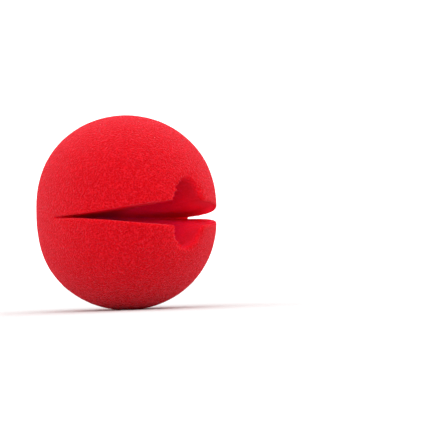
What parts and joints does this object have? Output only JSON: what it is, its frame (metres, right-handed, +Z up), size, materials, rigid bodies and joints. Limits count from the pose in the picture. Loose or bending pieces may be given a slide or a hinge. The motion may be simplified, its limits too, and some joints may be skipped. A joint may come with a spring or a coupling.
{
  "type": "clown nose",
  "caption": "Round red foam nose, slit across its back with a hole for the wearer's own nose, worn by pinching the slit onto it.",
  "frame": {"origin": "under the middle of the ball, on the surface it rests on, at the middle of its small flat foot", "axes": "+Z up, X along the slit from its shut end at -X to its open end at +X, -Y out of the hole towards the wearer's face, +Y to the front of the nose"},
  "size_m": [0.045, 0.0494, 0.0506],
  "materials": {
    "foam": "fine open-cell foam, matte"
  },
  "bodies": {
    "root": {"foam_ball": "foam"}
  },
  "joints": []
}
